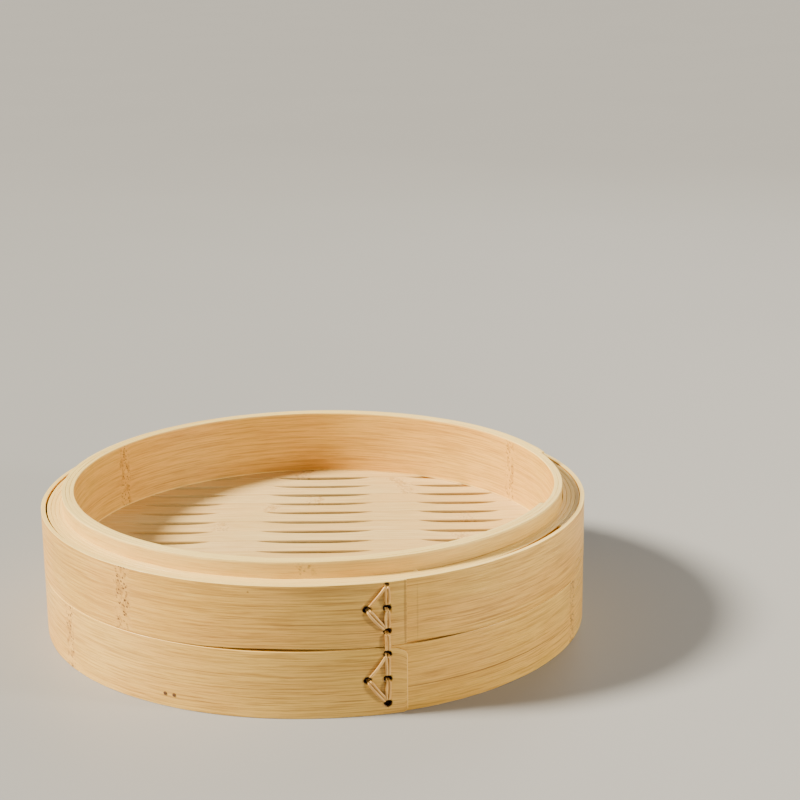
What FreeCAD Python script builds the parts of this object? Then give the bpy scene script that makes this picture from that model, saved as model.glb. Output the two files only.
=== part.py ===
"""Bamboo steamer basket, 300 mm across: hoops, wound walls, slatted floor and cane lacing.

Millimetres, +Z up. The origin is the centre of the bottom edge, and the front is -Y.
"""
import FreeCAD, Part
import Sketcher
import math
import os

FRONT = -90.0  # polar angle of the front of the basket, in degrees
THROUGH = 3.0  # how far a cutting tool runs past what it cuts
LONGEST_ARC = 170.0  # degrees that one arc may span

# heights and a radius that follow from the sizes, as formulas
SEAM = "lower_height"
RIM = "lower_height + upper_height"
FLOOR = "lower_height + floor_rise"
BASE_TOP = "lower_height - base_drop"
SPIGOT = "basket_radius - shoulder_width"
WALL = "basket_radius - shoulder_width - wall_relief"

# alias, value in millimetres or degrees or a count, what it is
SIZES = [
    ("basket_radius", 150.0, "outside of both outer hoops"),
    ("lower_height", 35.0, "height of the lower hoop, from the bottom edge to the seam"),
    ("upper_height", 34.0, "height from the seam to the upper hoop's rim"),
    ("seam_gap", 0.5, "open line between the two hoops"),
    ("hoop_thick", 2.5, "thickness of an outer hoop"),
    ("hoop_groove", 1.0, "open groove behind an outer hoop, where the cane runs"),
    ("lap_rise", 0.9, "how far the lap's end stands proud"),
    ("lap_bearing", 19.7, "bearing of the lap's end, to the right of the front"),
    ("lap_length", 35.0, "angle over which the two ends overlap"),
    ("lap_lift", 15.0, "angle over which the lap's end lifts"),
    ("lap_tip", 0.6, "thickness of the hidden, shaved end"),
    ("slit", 0.12, "hair gap between lapped ends"),
    ("shoulder_width", 11.6, "from the outside in to the spigot"),
    ("spigot_stand", 8.6, "height of the spigot above the shoulder"),
    ("spigot_foot", 0.3, "where the spigot's full width starts, above the rim"),
    ("wall_relief", 0.7, "how much the inner wall is shaved below the spigot"),
    ("shoulder_drop", 0.6, "shoulder's depth below the rim"),
    ("wall_strip", 2.0, "thickness of the strip of the inner wall"),
    ("wall_turns", 3, "turns of the inner wall"),
    ("pack_turns", 4, "turns of the packing behind the hoops"),
    ("turn_gap", 0.2, "gap between two turns"),
    ("nest_gap", 0.4, "gap between the inner wall and its packing"),
    ("step_angle", 40.0, "angle over which a turn steps in to the next"),
    ("wall_bearing", 108.0, "bearing of the inner wall's outer end"),
    ("pack_bearing", 64.0, "bearing of the packing's outer end"),
    ("base_bearing", 205.0, "bearing of the base winding's outer end"),
    ("floor_rise", 4.5, "top face of the floor slats above the seam"),
    ("slat_thick", 2.5, "thickness of a floor slat"),
    ("slat_count", 16, "slats across the floor"),
    ("slat_gap", 0.3, "line between two slats"),
    ("slat_bite", 1.8, "how far the first and last slat reach under the wall"),
    ("notch_depth", 4.5, "depth of a steam notch"),
    ("notch_length", 66.0, "length of the middle notch"),
    ("side_notch_length", 50.0, "length of the notches beside it"),
    ("bar_offset", 46.0, "crossbar's distance from the middle"),
    ("bar_width", 12.0, "width of a crossbar"),
    ("bar_height", 8.0, "height of a crossbar"),
    ("bar_chamfer", 1.0, "chamfer of a crossbar's lower edges"),
    ("bar_gap", 0.2, "clearance of a crossbar in its notches"),
    ("support_strip", 2.0, "thickness of the strip of the support winding"),
    ("recess_depth", 10.0, "depth of the recess in the bottom"),
    ("recess_land", 0.5, "gap between the recess and the support winding"),
    ("stack_gap", 0.9, "radial clearance of the recess over a spigot"),
    ("base_drop", 7.0, "top edge of the base winding below the seam"),
    ("cane_width", 2.6, "width of a cane stitch"),
    ("cane_thick", 1.2, "thickness of a cane stitch"),
    ("cane_back", 0.6, "thickness of the cane behind a hoop"),
    ("cane_gap", 0.15, "clearance of the cane in a hole and on a hoop"),
    ("lacing_setback", 3.9, "stitch line's angle back from the lap's end"),
    ("lacing_spread", 3.8, "side corner's angle from the stitch line"),
    ("lacing_foot", 5.8, "lowest hole above the bottom edge"),
    ("lacing_margin", 3.2, "lower hoop's top hole below the seam"),
    ("lacing_link", 11.6, "link across the seam, from hole to hole"),
    ("tie_reach", 7.0, "tie stitch's holes above and below the seam"),
    ("tie_spacing", 120.0, "angle from the stitch line to each tie stitch"),
    ("pin_radius", 0.9, "radius of a base pin"),
    ("pin_height", 6.9, "height of the base pins"),
    ("pin_gap", 0.04, "clearance round a base pin"),
    ("pin_stand", 0.2, "how far a base pin stands out of the hoop"),
    ("pin_pair", 2.0, "angle between the two pins of a pair"),
    ("pin_bearing", -26.6, "bearing of the first pair of pins"),
]

doc = FreeCAD.newDocument("SteamerBasket")
sheet = doc.addObject("Spreadsheet::Sheet", "Sizes")
for row, (alias, value, note) in enumerate(SIZES, start=1):
    sheet.set(f"A{row}", note)
    sheet.set(f"B{row}", str(value))
    sheet.setAlias(f"B{row}", alias)
doc.recompute()


def size(alias):
    """Value of a cell of the sheet."""
    return float(getattr(sheet, alias))


def bind(item, **formulas):
    """Tie properties of an object to formulas on the sheet's cells, such as Height='upper_height - slit'."""
    for prop, formula in formulas.items():
        words = formula.split(" ")
        bound = ["Sizes." + word if hasattr(sheet, word) else word for word in words]
        item.setExpression(prop, " ".join(bound))
    return item


def spot(radius, bearing, height=0.0):
    """Point at a radius and a bearing, counted in degrees to the right of the front."""
    angle = math.radians(FRONT + bearing)
    return FreeCAD.Vector(radius * math.cos(angle), radius * math.sin(angle), height)


# ---- strips bent into rings ----

def bent_edges(stations):
    """Arcs through (bearing, radius) stations. A bearing that doesn't change makes a straight step."""
    edges = []
    for (b1, r1), (b2, r2) in zip(stations, stations[1:]):
        if abs(b2 - b1) < 1e-6:
            edges.append(Part.LineSegment(spot(r1, b1), spot(r2, b2)))
            continue
        spans = max(1, math.ceil(abs(b2 - b1) / LONGEST_ARC)) if r1 == r2 else 2
        blend = [0.0, 0.5, 1.0] if r1 != r2 else [k / spans for k in range(spans + 1)]
        for u1, u2 in zip(blend, blend[1:]):
            points = []
            for u in (u1, (u1 + u2) / 2, u2):
                ease = u * u * (3 - 2 * u)
                points.append(spot(r1 + (r2 - r1) * ease, b1 + (b2 - b1) * u))
            edges.append(Part.Arc(*points))
    return edges


def bent_strip(label, outside, inside, low, high):
    """Body of a strip on edge: its outline runs along `outside` and back along `inside`.

    low and high are formulas on the sheet for the strip's two edges.
    """
    loop = outside + inside[::-1]
    body = doc.addObject("PartDesign::Body", label)
    sketch = body.newObject("Sketcher::SketchObject", label + "_outline")
    plane = next(f for f in body.Origin.OriginFeatures if f.Role == "XY_Plane")
    sketch.AttachmentSupport = (plane, [""])
    sketch.MapMode = "FlatFace"
    sketch.addGeometry(bent_edges(loop + loop[:1]), False)
    bind(sketch, **{"AttachmentOffset.Base.z": low})
    pad = body.newObject("PartDesign::Pad", label + "_pad")
    pad.Profile = sketch
    bind(pad, Length=f"( {high} ) - ( {low} )")
    sketch.Visibility = False
    body.Tip = pad
    return body


def turned_cut(body, name, inner, outer, low, high):
    """Ring cut out of a body between two radii and two heights, all four given as formulas."""
    sketch = body.newObject("Sketcher::SketchObject", name + "_profile")
    plane = next(f for f in body.Origin.OriginFeatures if f.Role == "XZ_Plane")
    sketch.AttachmentSupport = (plane, [""])
    sketch.MapMode = "FlatFace"
    corners = [FreeCAD.Vector(x, y, 0) for x, y in ((1, 1), (2, 1), (2, 2), (1, 2))]
    sketch.addGeometry([Part.LineSegment(a, b) for a, b in zip(corners, corners[1:] + corners[:1])], False)
    for side in range(4):
        sketch.addConstraint(Sketcher.Constraint("Coincident", side, 2, (side + 1) % 4, 1))
        sketch.addConstraint(Sketcher.Constraint("Vertical" if side % 2 else "Horizontal", side))
    for axis, point, formula in (("X", 0, inner), ("X", 1, outer), ("Y", 0, low), ("Y", 2, high)):
        number = sketch.addConstraint(Sketcher.Constraint("Distance" + axis, -1, 1, point, 1, 1.0))
        bind(sketch, **{f"Constraints[{number}]": formula})
    doc.recompute()
    groove = body.newObject("PartDesign::Groove", name)
    groove.Profile = sketch
    groove.ReferenceAxis = (sketch, ["V_Axis"])
    groove.Angle = 360
    sketch.Visibility = False
    before = body.Shape.Volume
    body.Tip = groove
    doc.recompute()
    if not body.Shape.Volume < before:
        raise RuntimeError(f"{name} cut nothing")
    return body


def lapped_hoop(label, low, high):
    """Outer hoop whose end lies over its own shaved start, with a hair gap between them."""
    radius, thick, slit = size("basket_radius"), size("hoop_thick"), size("slit")
    end, lap, lift = size("lap_bearing"), size("lap_length"), size("lap_lift")
    back = radius - thick
    hidden = back + size("lap_tip")
    gap = math.degrees(slit / radius)
    outside = [(end, radius + size("lap_rise")), (end - lift, radius), (end + gap - 360, radius),
               (end + gap - 360, radius - slit), (end - lap - 360 + gap, hidden)]
    inside = [(end, radius), (end - lap, hidden + slit), (end - lap, back), (end - lap + gap - 360, back)]
    return bent_strip(label, outside, inside, low, high)


def wound_strip(label, radius, strip, turns, bearing, low, high):
    """Strip wound inwards. Each turn is round, and steps in by one pitch on its last stretch."""
    pitch, step = strip + size("turn_gap"), size("step_angle")
    outside, inside = [], []
    for turn in range(int(turns)):
        for stations, start in ((outside, radius - turn * pitch), (inside, radius - strip - turn * pitch)):
            stations.append((bearing + 360 * turn, start))
            stations.append((bearing + 360 * (turn + 1) - step, start))
    tail = math.degrees(size("turn_gap") / radius)
    outside[-1] = (outside[-1][0] - tail, outside[-1][1])
    inside[-1] = (inside[-1][0] - tail, inside[-1][1])
    return bent_strip(label, outside, inside, low, high)


# ---- cane ----

def skin(bearing):
    """Outside radius of a hoop at a bearing, with the lift of the lap's end."""
    back = (size("lap_bearing") - bearing) / size("lap_lift")
    if not 0 <= back <= 1:
        return size("basket_radius")
    return size("basket_radius") + size("lap_rise") * (1 - back * back * (3 - 2 * back))


def radial_rod(name, inner, outer, bearing, height, **formulas):
    """Round rod that points out from the axis. Its radius is bound to the sheet."""
    rod = doc.addObject("Part::Cylinder", name)
    rod.Height = outer - inner
    rod.Placement = FreeCAD.Placement(spot(inner, bearing, height),
                                      FreeCAD.Rotation(FreeCAD.Vector(0, 0, 1), spot(1, bearing)))
    return bind(rod, **formulas)


def cane_run(name, start, end, inner, **formulas):
    """Flat run of cane between two (bearing, height) corners, its inner face at radius `inner`."""
    first, last = spot(inner, *start), spot(inner, *end)
    middle = (start[0] + end[0]) / 2
    outward, along = spot(1, middle), last - first
    width = size("cane_width")
    across = outward.cross(along).normalize()
    run = doc.addObject("Part::Box", name)
    run.Length = along.Length
    turn = FreeCAD.Rotation(along, across, outward, "XZY")
    run.Placement = FreeCAD.Placement(first - across * (width / 2), turn)
    return bind(run, Width="cane_width", **formulas)


def joined(label, items):
    """One solid from pieces that overlap."""
    fuse = doc.addObject("Part::MultiFuse", label)
    fuse.Shapes = items
    fuse.Refine = True
    return fuse


def cane_lacing(label, corners, runs):
    """Cane through the holes at `corners`, with outside `runs` between them and one run behind."""
    back = size("basket_radius") - size("hoop_thick") - size("cane_gap") - size("cane_back")
    gap = size("cane_gap")
    parts = []
    for k, (bearing, height) in enumerate(corners):
        top = skin(bearing) + gap + size("cane_thick")
        parts.append(radial_rod(f"{label}_leg{k}", back, top, bearing, height, Radius="cane_width / 2"))
    for k, (a, b) in enumerate(runs):
        start, end = corners[a], corners[b]
        face = max(skin(start[0]), skin(end[0])) + gap
        parts.append(cane_run(f"{label}_run{k}", start, end, face, Height="cane_thick"))
    upright = [corner for corner in corners if corner[0] == corners[0][0]]
    ends = min(upright, key=lambda c: c[1]), max(upright, key=lambda c: c[1])
    parts.append(cane_run(f"{label}_back", *ends, back, Height="cane_back"))
    return joined(label, parts)


def pierced(label, body, holes):
    """A body with round radial holes, each (bearing, height, radius formula)."""
    tools = [radial_rod(f"{label}_hole{k}", recess_radius - THROUGH, size("basket_radius") + THROUGH,
                        bearing, height, Radius=formula)
             for k, (bearing, height, formula) in enumerate(holes)]
    cut = doc.addObject("Part::Cut", label)
    cut.Base = body
    cut.Tool = joined(label + "_holes", tools)
    return cut


# ---- floor ----

def disc(name, radius, low, high):
    """Round blank, used to trim what ends inside the wall."""
    blank = doc.addObject("Part::Cylinder", name)
    return bind(blank, Radius=radius, Height=f"( {high} ) - ( {low} )", **{"Placement.Base.z": low})


def floor_slat(label, index, blank):
    """Slat with one straight edge and an edge with arc-shaped notches between the crossbars."""
    inner = inner_radius + size("slat_bite")
    pitch = 2 * inner / size("slat_count")
    low = -inner + index * pitch
    board = doc.addObject("Part::Box", label + "_board")
    board.Width = pitch - size("slat_gap")
    board.Placement.Base.y = low
    bind(board, Length="2 * basket_radius", Height="slat_thick",
         **{"Placement.Base.x": "0 - basket_radius", "Placement.Base.z": f"{FLOOR} - slat_thick"})
    trimmed = doc.addObject("Part::MultiCommon", label + "_trimmed")
    trimmed.Shapes = [board, blank]
    depth, top = size("notch_depth"), low + pitch - size("slat_gap")
    side = 2 * size("bar_offset") - size("notch_length") / 2 + size("side_notch_length") / 2
    cutters = []
    for k, (middle, chord) in enumerate([(0.0, size("notch_length")), (side, size("side_notch_length")),
                                         (-side, size("side_notch_length"))]):
        radius = ((chord / 2) ** 2 + depth ** 2) / (2 * depth)
        reach = math.sqrt(max(inner_radius ** 2 - top ** 2, 0.0))
        if abs(middle) > reach:
            continue
        cutter = doc.addObject("Part::Cylinder", f"{label}_notch{k}")
        cutter.Radius = radius
        cutter.Placement.Base = FreeCAD.Vector(middle, top - depth + radius, 0)
        cutters.append(bind(cutter, Height=f"slat_thick + 2 * {THROUGH}",
                            **{"Placement.Base.z": f"{FLOOR} - slat_thick - {THROUGH}"}))
    if not cutters or index == int(size("slat_count")) - 1:
        trimmed.Label = label
        return trimmed
    cut = doc.addObject("Part::Cut", label)
    cut.Base = trimmed
    cut.Tool = joined(label + "_notches", cutters) if len(cutters) > 1 else cutters[0]
    return cut


def crossbar(label, side, blank):
    """Bar under the slats with chamfered lower edges, its ends trimmed round in the support winding."""
    bar = doc.addObject("Part::Box", label + "_blank")
    bind(bar, Length="bar_width", Width="2 * basket_radius", Height="bar_height",
         **{"Placement.Base.x": f"{side} * bar_offset - bar_width / 2",
            "Placement.Base.y": "0 - basket_radius",
            "Placement.Base.z": f"{FLOOR} - slat_thick - bar_height"})
    doc.recompute()
    lower = [n + 1 for n, edge in enumerate(bar.Shape.Edges)
             if edge.BoundBox.ZLength < 1e-6 and edge.BoundBox.YLength > 1
             and abs(edge.BoundBox.ZMin - bar.Shape.BoundBox.ZMin) < 1e-6]
    chamfer = doc.addObject("Part::Chamfer", label + "_chamfered")
    chamfer.Base = bar
    chamfer.Edges = [(n, size("bar_chamfer"), size("bar_chamfer")) for n in lower]
    common = doc.addObject("Part::MultiCommon", label)
    common.Shapes = [chamfer, blank]
    return common


# ---- the basket ----

spigot_radius = size("basket_radius") - size("shoulder_width")
pack_radius = size("basket_radius") - size("hoop_thick") - size("hoop_groove")
wall_radius = spigot_radius - size("wall_relief")
recess_radius = spigot_radius + size("stack_gap")
turns = size("pack_turns")
wall_turns = size("wall_turns")
inner_radius = spigot_radius - wall_turns * size("wall_strip") - (wall_turns - 1) * size("turn_gap")
pack_strip = (pack_radius - wall_radius - size("nest_gap") + size("turn_gap")) / turns - size("turn_gap")

seam, rim = size("lower_height"), size("lower_height") + size("upper_height")
stitch = size("lap_bearing") - size("lacing_setback")
spread = size("lacing_spread")
hole = "cane_width / 2 + cane_gap"
pin_hole = "pin_radius + pin_gap"


def ladder(low, high):
    """Heights of the three holes of one lap's triangle."""
    return [low, (low + high) / 2, high]


lower_rungs = ladder(size("lacing_foot"), seam - size("lacing_margin"))
upper_rungs = ladder(lower_rungs[2] + size("lacing_link"), rim - size("cane_width") / 2)
lower_side, upper_side = (stitch - spread, lower_rungs[1]), (stitch - spread, upper_rungs[1])
corners = [(stitch, z) for z in lower_rungs + upper_rungs] + [lower_side, upper_side]
outside_runs = [(0, 5), (2, 6), (6, 0), (5, 7), (7, 3)]
lower_holes = [(b, z, hole) for b, z in corners if z < seam]
upper_holes = [(b, z, hole) for b, z in corners if z > seam]

nodes = []
lacing = cane_lacing("lap_lacing", corners, outside_runs)
nodes.append(lacing)
for label, turn in (("tie_stitch_right", 1), ("tie_stitch_left", -1)):
    bearing = stitch + turn * size("tie_spacing")
    ends = [(bearing, seam - size("tie_reach")), (bearing, seam + size("tie_reach"))]
    nodes.append(cane_lacing(label, ends, [(0, 1)]))
    lower_holes.append((*ends[0], hole))
    upper_holes.append((*ends[1], hole))

pin_spots = [(size("pin_bearing") + 120.0 * k + turn * size("pin_pair") / 2, size("pin_height"))
             for k in range(3) for turn in (-1, 1)]
lower_holes += [(b, z, pin_hole) for b, z in pin_spots]

nodes.append(pierced("upper_hoop", lapped_hoop("upper_strip", f"{SEAM} + seam_gap", RIM), upper_holes))
nodes.append(pierced("lower_hoop", lapped_hoop("lower_strip", "0", SEAM), lower_holes))
nodes.append(wound_strip("shoulder_winding", pack_radius, pack_strip, turns, size("pack_bearing"),
                         BASE_TOP, f"{RIM} - shoulder_drop"))

wall = wound_strip("inner_wall_winding", spigot_radius, size("wall_strip"), wall_turns,
                   size("wall_bearing"), FLOOR, f"{RIM} - shoulder_drop + spigot_stand")
nodes.append(turned_cut(wall, "wall_shaving", WALL, f"{SPIGOT} + {THROUGH}", f"{FLOOR} - {THROUGH}",
                         f"{RIM} + spigot_foot"))

base = wound_strip("base_strip", pack_radius, pack_strip, turns, size("base_bearing"), "0", BASE_TOP)
base = turned_cut(base, "recess", f"{WALL} - {THROUGH}", f"{SPIGOT} + stack_gap", f"0 - {THROUGH}",
                  "recess_depth")
nodes.append(pierced("base_winding", base, [(b, z, pin_hole) for b, z in pin_spots]))

support = wound_strip("support_strip_wound", wall_radius, size("support_strip"), wall_turns,
                      size("wall_bearing") + 90, "recess_depth + recess_land", f"{FLOOR} - slat_thick")
slots = []
for side in (-1, 1):
    slot = doc.addObject("Part::Box", f"support_slot{side + 1}")
    slots.append(bind(slot, Length="bar_width + 2 * bar_gap", Width="2 * basket_radius",
                      Height=f"bar_height + {THROUGH}",
                      **{"Placement.Base.x": f"{side} * bar_offset - bar_width / 2 - bar_gap",
                         "Placement.Base.y": "0 - basket_radius",
                         "Placement.Base.z": f"{FLOOR} - slat_thick - bar_height"}))
notched = doc.addObject("Part::Cut", "support_winding")
notched.Base = support
notched.Tool = joined("support_slots", slots)
nodes.append(notched)

bar_blank = disc("bar_ends", WALL, f"{FLOOR} - slat_thick - bar_height", f"{FLOOR} - slat_thick")
for label, side in (("crossbar_left", -1), ("crossbar_right", 1)):
    nodes.append(crossbar(label, side, bar_blank))

slat_blank = disc("slat_ends", WALL, f"{FLOOR} - slat_thick", FLOOR)
for index in range(int(size("slat_count"))):
    nodes.append(floor_slat(f"floor_slat_{index + 1:02d}", index, slat_blank))

pins = [radial_rod(f"base_pin{k}", recess_radius, size("basket_radius") + size("pin_stand"), bearing, height,
                   Radius="pin_radius") for k, (bearing, height) in enumerate(pin_spots)]
pin_group = doc.addObject("Part::Compound", "base_pins")
pin_group.Links = pins
nodes.append(pin_group)

doc.recompute()

for item in doc.Objects:
    if {"Invalid", "Error"} & set(item.State):
        raise RuntimeError(f"{item.Name} failed: {item.State}")

os.makedirs("parts", exist_ok=True)
for node in nodes:
    shape = node.Shape
    name = node.Label
    if shape.isNull() or not shape.isValid() or not shape.Solids:
        raise RuntimeError(f"{name} has no valid solid")
    shape.exportStep(f"parts/{name}.step")
    print(f"{name}: {len(shape.Solids)} solid, {shape.Volume / 1000:.1f} cm3")
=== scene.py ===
# Bamboo steamer basket, one 30 cm tier: its looks, built on the frame of its solid model.
import math
import bpy
import numpy as np
from mathutils import Matrix, Vector


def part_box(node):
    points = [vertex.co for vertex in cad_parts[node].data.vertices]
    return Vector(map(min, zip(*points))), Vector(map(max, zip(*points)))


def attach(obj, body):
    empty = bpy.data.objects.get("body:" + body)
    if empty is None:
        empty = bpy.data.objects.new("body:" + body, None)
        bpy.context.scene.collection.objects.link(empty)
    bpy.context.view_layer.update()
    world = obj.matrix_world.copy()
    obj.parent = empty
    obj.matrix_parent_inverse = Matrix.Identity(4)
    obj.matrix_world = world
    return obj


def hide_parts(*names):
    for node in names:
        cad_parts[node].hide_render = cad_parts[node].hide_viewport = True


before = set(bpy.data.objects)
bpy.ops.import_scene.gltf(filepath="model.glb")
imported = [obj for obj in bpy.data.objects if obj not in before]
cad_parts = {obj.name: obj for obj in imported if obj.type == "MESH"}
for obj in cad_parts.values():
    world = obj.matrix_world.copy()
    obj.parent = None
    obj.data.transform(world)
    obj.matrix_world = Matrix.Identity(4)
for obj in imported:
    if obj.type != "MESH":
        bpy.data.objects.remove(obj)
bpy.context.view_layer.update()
mm = 0.001


def boxOf(node):
    low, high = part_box(node)
    return np.array(low), np.array(high)


hoopRadius = boxOf("lower_hoop")[1][1]
seam = boxOf("lower_hoop")[1][2]       # height where the two hoops meet
rim = boxOf("upper_hoop")[1][2]
grainRadius = 150 * mm                 # bearings on the hoops' grain map are lengths at this radius

# a bearing is in degrees to the right of the front, so a point is at (r sin bearing, -r cos bearing)

studio = {
    "cameraPlace": (48.3 * mm, -957.0 * mm, 377.5 * mm),
    "cameraPitch": 15.04,        # degrees below level
    "cameraRoll": -0.565,
    "lens": 81.0,
    "floorRadius": 14.0,
    "floorDrop": 0.05 * mm,      # keeps the floor clear of the foot
    "floorColour": (0.335, 0.352, 0.385),
    "floorMottle": 0.985,        # the floor's darker patches, as a share of its colour
    "skyStrength": 0.13,
    "skyColour": (1.0, 0.93, 0.82),
}


def makeCamera():
    data = bpy.data.cameras.new("camera")
    data.lens = studio["lens"]
    data.sensor_width = 36.0
    camera = bpy.data.objects.new("camera", data)
    bpy.context.scene.collection.objects.link(camera)
    tilt = Matrix.Rotation(math.radians(90.0 - studio["cameraPitch"]), 4, "X")
    roll = Matrix.Rotation(math.radians(studio["cameraRoll"]), 4, "Z")
    camera.matrix_world = Matrix.Translation(studio["cameraPlace"]) @ tilt @ roll
    bpy.context.scene.camera = camera


makeCamera()
print("camera placed")


def addTo(tree, kind, **settings):
    # a shader node; names that are its sockets are set on them, the rest on the node
    made = tree.nodes.new(kind)
    for key, value in settings.items():
        if key in made.inputs:
            made.inputs[key].default_value = value
        else:
            setattr(made, key, value)
    return made


def figure(tree, operation, *values):
    # one sum on numbers or sockets
    made = addTo(tree, "ShaderNodeMath", operation=operation)
    for place, value in zip(made.inputs, values):
        if isinstance(value, (int, float)):
            place.default_value = value
        else:
            tree.links.new(value, place)
    return made.outputs[0]


def aroundZero(tree, noise, reach):
    # noise from 0 to 1 moved to lie round 0, reach wide
    return figure(tree, "MULTIPLY", figure(tree, "SUBTRACT", noise, 0.5), reach)


def ramp(tree, value, low, high, first=0.0, last=1.0):
    # maps low..high to first..last, smoothly, and holds outside
    made = addTo(tree, "ShaderNodeMapRange", interpolation_type="SMOOTHSTEP")
    tree.links.new(value, made.inputs["Value"])
    for key, number in (("From Min", low), ("From Max", high), ("To Min", first), ("To Max", last)):
        made.inputs[key].default_value = number
    return made.outputs["Result"]


def blendColour(tree, share, first, second):
    # share is a socket or a number; the colours are sockets or triples
    made = addTo(tree, "ShaderNodeMix", data_type="RGBA")
    for place, value in ((made.inputs[0], share), (made.inputs[6], first), (made.inputs[7], second)):
        if isinstance(value, (int, float)):
            place.default_value = value
        elif isinstance(value, tuple):
            place.default_value = (*value, 1.0)
        else:
            tree.links.new(value, place)
    return made.outputs[2]


def stretchedNoise(tree, along, across, third, alongScale, acrossScale, detail=2.0, roughness=0.5):
    # noise whose grains are long one way: alongScale and acrossScale are grains per metre
    place = addTo(tree, "ShaderNodeCombineXYZ")
    tree.links.new(figure(tree, "MULTIPLY", along, alongScale), place.inputs[0])
    tree.links.new(figure(tree, "MULTIPLY", across, acrossScale), place.inputs[1])
    place.inputs[2].default_value = third
    made = addTo(tree, "ShaderNodeTexNoise", Scale=1.0, Detail=detail, Roughness=roughness)
    tree.links.new(place.outputs[0], made.inputs["Vector"])
    return made.outputs["Fac"]


def objectNoise(tree, scale):
    # even noise through the piece, scale grains per metre
    where = addTo(tree, "ShaderNodeTexCoord")
    made = addTo(tree, "ShaderNodeTexNoise", Scale=scale, Detail=2.0)
    tree.links.new(where.outputs["Object"], made.inputs["Vector"])
    return made.outputs["Fac"]


def newMaterial(name):
    made = bpy.data.materials.new(name)
    made.use_nodes = True
    tree = made.node_tree
    tree.nodes.clear()
    shader = tree.nodes.new("ShaderNodeBsdfPrincipled")
    out = tree.nodes.new("ShaderNodeOutputMaterial")
    tree.links.new(shader.outputs[0], out.inputs[0])
    return made, tree, shader


def addBump(tree, shader, height, strength, distance):
    bump = addTo(tree, "ShaderNodeBump", Strength=strength, Distance=distance)
    tree.links.new(height, bump.inputs["Height"])
    tree.links.new(bump.outputs[0], shader.inputs["Normal"])


def grainMap(tree):
    # distance along the grain and across it, in metres, from the piece's own map
    split = addTo(tree, "ShaderNodeSeparateXYZ")
    spread = addTo(tree, "ShaderNodeUVMap", uv_map="grain")
    tree.links.new(spread.outputs[0], split.inputs[0])
    return split.outputs[0], split.outputs[1]


def grainRound(tree, meanRadius=0.14):
    # the same for a strip wound round the axis that has no map: turn * radius, and height + radius
    where = addTo(tree, "ShaderNodeTexCoord")
    split = addTo(tree, "ShaderNodeSeparateXYZ")
    tree.links.new(where.outputs["Object"], split.inputs[0])
    x, y, z = split.outputs[0], split.outputs[1], split.outputs[2]
    squares = figure(tree, "ADD", figure(tree, "MULTIPLY", x, x), figure(tree, "MULTIPLY", y, y))
    turn = figure(tree, "ARCTAN2", y, x)
    return figure(tree, "MULTIPLY", turn, meanRadius), figure(tree, "ADD", z, figure(tree, "SQRT", squares))


def markShade(tree, along, across, marks):
    # soft-edged ellipses on the strip: the strongest of 1 - distance from the mark's middle, in its own radii
    total = None
    for bearing, height, halfLong, halfTall, depth in marks:
        middle = math.radians(bearing) * grainRadius
        u = figure(tree, "DIVIDE", figure(tree, "SUBTRACT", along, middle), halfLong)
        v = figure(tree, "DIVIDE", figure(tree, "SUBTRACT", across, height), halfTall)
        far = figure(tree, "ADD", figure(tree, "MULTIPLY", u, u), figure(tree, "MULTIPLY", v, v))
        shade = ramp(tree, far, 1.0, 0.25, 0.0, depth)
        total = shade if total is None else figure(tree, "MAXIMUM", total, shade)
    return total


# each pattern of the grain: shift of the seed, grains per metre along and across, octaves, their roughness
patterns = {
    "wander": (2.2, 0.0, 170.0, 2.0, 0.6),       # how a node band strays
    "swirl": (6.6, 330.0, 210.0, 2.0, 0.6),      # fibres turning in a node band
    "fibre": (0.0, 70.0, 1900.0, 3.0, 0.65),
    "strand": (3.1, 30.0, 960.0, 3.0, 0.68),
    "thread": (17.0, 17.0, 1250.0, 2.0, 0.6),    # thin dark lines
    "streak": (5.3, 10.0, 360.0, 3.0, 0.6),
    "patch": (8.9, 15.0, 48.0, 2.0, 0.5),
    "drift": (12.7, 6.0, 7.0, 1.0, 0.5),         # slow change of tone round the basket
    "cast": (25.0, 17.0, 4.0, 2.0, 0.5),         # olive stretches
    "fine": (1.7, 70.0, 3600.0, 2.0, 0.7),       # fibre ends on a cut edge
}
nodeBand = {
    "stray": 8.0 * mm, "bend": 6.0 * mm, "outer": (7.8 * mm, 3.0 * mm), "inner": (5.8 * mm, 2.6 * mm),
    "speckAlong": 560.0, "speckAcross": 640.0, "speckLean": 210.0,     # specks per metre
}


def nodeSpecks(tree, along, across, seed):
    # slanted short strokes and round specks: how much of one is here, and each one's own random number
    lean = figure(tree, "ADD", figure(tree, "MULTIPLY", along, nodeBand["speckAlong"]),
                  figure(tree, "MULTIPLY", across, nodeBand["speckLean"]))
    place = addTo(tree, "ShaderNodeCombineXYZ")
    tree.links.new(lean, place.inputs[0])
    tree.links.new(figure(tree, "MULTIPLY", across, nodeBand["speckAcross"]), place.inputs[1])
    place.inputs[2].default_value = seed
    dots = addTo(tree, "ShaderNodeTexVoronoi", Scale=1.0, Randomness=0.9)
    tree.links.new(place.outputs[0], dots.inputs["Vector"])
    pick = addTo(tree, "ShaderNodeSeparateColor")
    tree.links.new(dots.outputs["Color"], pick.inputs[0])
    return ramp(tree, dots.outputs["Distance"], 0.46, 0.24), pick.outputs[0]


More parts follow.
